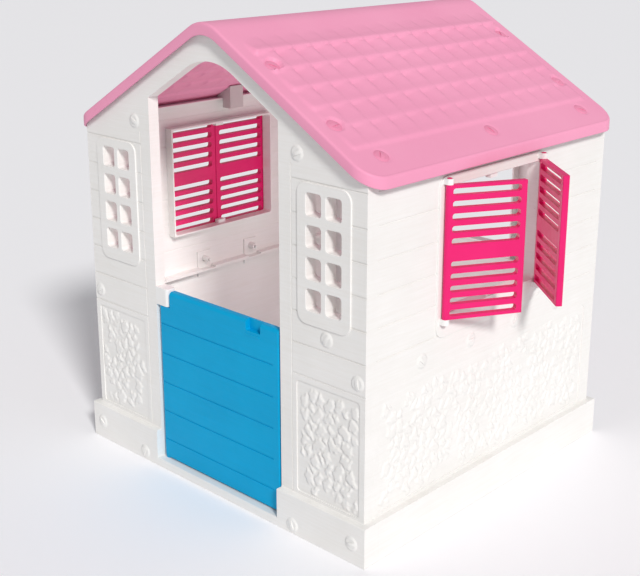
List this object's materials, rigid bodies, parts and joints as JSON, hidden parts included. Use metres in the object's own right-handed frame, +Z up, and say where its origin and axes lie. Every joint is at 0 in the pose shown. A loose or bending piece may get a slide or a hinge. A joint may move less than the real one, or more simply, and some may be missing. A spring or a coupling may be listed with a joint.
{
  "type": "plastic playhouse",
  "caption": "Child's plastic playhouse with a pitched tiled roof, a half door, small paned windows and louvred side shutters.",
  "frame": {"origin": "on the floor at the middle of the doorway, in the plane of the front wall's outer face, on the threshold's underside", "axes": "+Z up, the front looks along -Y, +X to the right seen from the front"},
  "size_m": [1.0268, 0.878, 1.0449],
  "materials": {
    "wall": "warm white moulded plastic with a fine grain",
    "fitting": "white moulded plastic",
    "roof_shell": "pink moulded plastic with embossed tiles",
    "roof_screw": "pink moulded plastic",
    "shutter": "satin magenta moulded plastic",
    "door": "satin blue moulded plastic",
    "wall_screw": "white moulded plastic",
    "bracket": "grey moulded plastic"
  },
  "bodies": {
    "house": {"back_gable": "wall", "back_infill": "wall", "back_panel_left": "wall", "back_panel_right": "wall", "back_screws": "wall_screw", "door_hinge_block": "fitting", "door_sill": "wall", "eave_brackets_left": "bracket", "eave_brackets_right": "bracket", "front_gable": "wall", "front_panel_left": "wall", "front_panel_right": "wall", "front_screws": "wall_screw", "gable_brackets_back": "bracket", "gable_brackets_front": "bracket", "hook_screw": "wall_screw", "roof_left": "roof_shell", "roof_right": "roof_shell", "roof_saddles": "bracket", "roof_screws_left": "roof_screw", "roof_screws_right": "roof_screw", "shutter_sockets_left": "fitting", "shutter_sockets_right": "fitting", "shutter_stops_left": "fitting", "shutter_stops_right": "fitting", "side_lower_left": "wall", "side_lower_right": "wall", "side_screws_left": "wall_screw", "side_screws_right": "wall_screw", "side_upper_left": "wall", "side_upper_right": "wall"},
    "door": {"half_door": "door"},
    "left_front_leaf": {"shutter_left_front": "shutter"},
    "left_rear_leaf": {"shutter_left_rear": "shutter"},
    "right_front_leaf": {"shutter_right_front": "shutter"},
    "right_rear_leaf": {"shutter_right_rear": "shutter"}
  },
  "joints": [
    {"name": "door_hinge", "type": "hinge", "parent": "house", "child": "door", "pos_m": [-0.184, 0.013, 0.02], "axis": [0, 0, -1], "range_deg": [0, 95]},
    {"name": "left_front_shutter_hinge", "type": "hinge", "parent": "house", "child": "left_front_leaf", "pos_m": [-0.4435, 0.2302, 0.6], "axis": [0, 0, 1], "range_deg": [0, 165]},
    {"name": "left_rear_shutter_hinge", "type": "hinge", "parent": "house", "child": "left_rear_leaf", "pos_m": [-0.4435, 0.5638, 0.6], "axis": [0, 0, -1], "range_deg": [0, 165]},
    {"name": "right_front_shutter_hinge", "type": "hinge", "parent": "house", "child": "right_front_leaf", "pos_m": [0.4435, 0.2302, 0.6], "axis": [0, 0, -1], "range_deg": [-30, 135]},
    {"name": "right_rear_shutter_hinge", "type": "hinge", "parent": "house", "child": "right_rear_leaf", "pos_m": [0.4435, 0.5638, 0.6], "axis": [0, 0, 1], "range_deg": [-49, 116]}
  ]
}
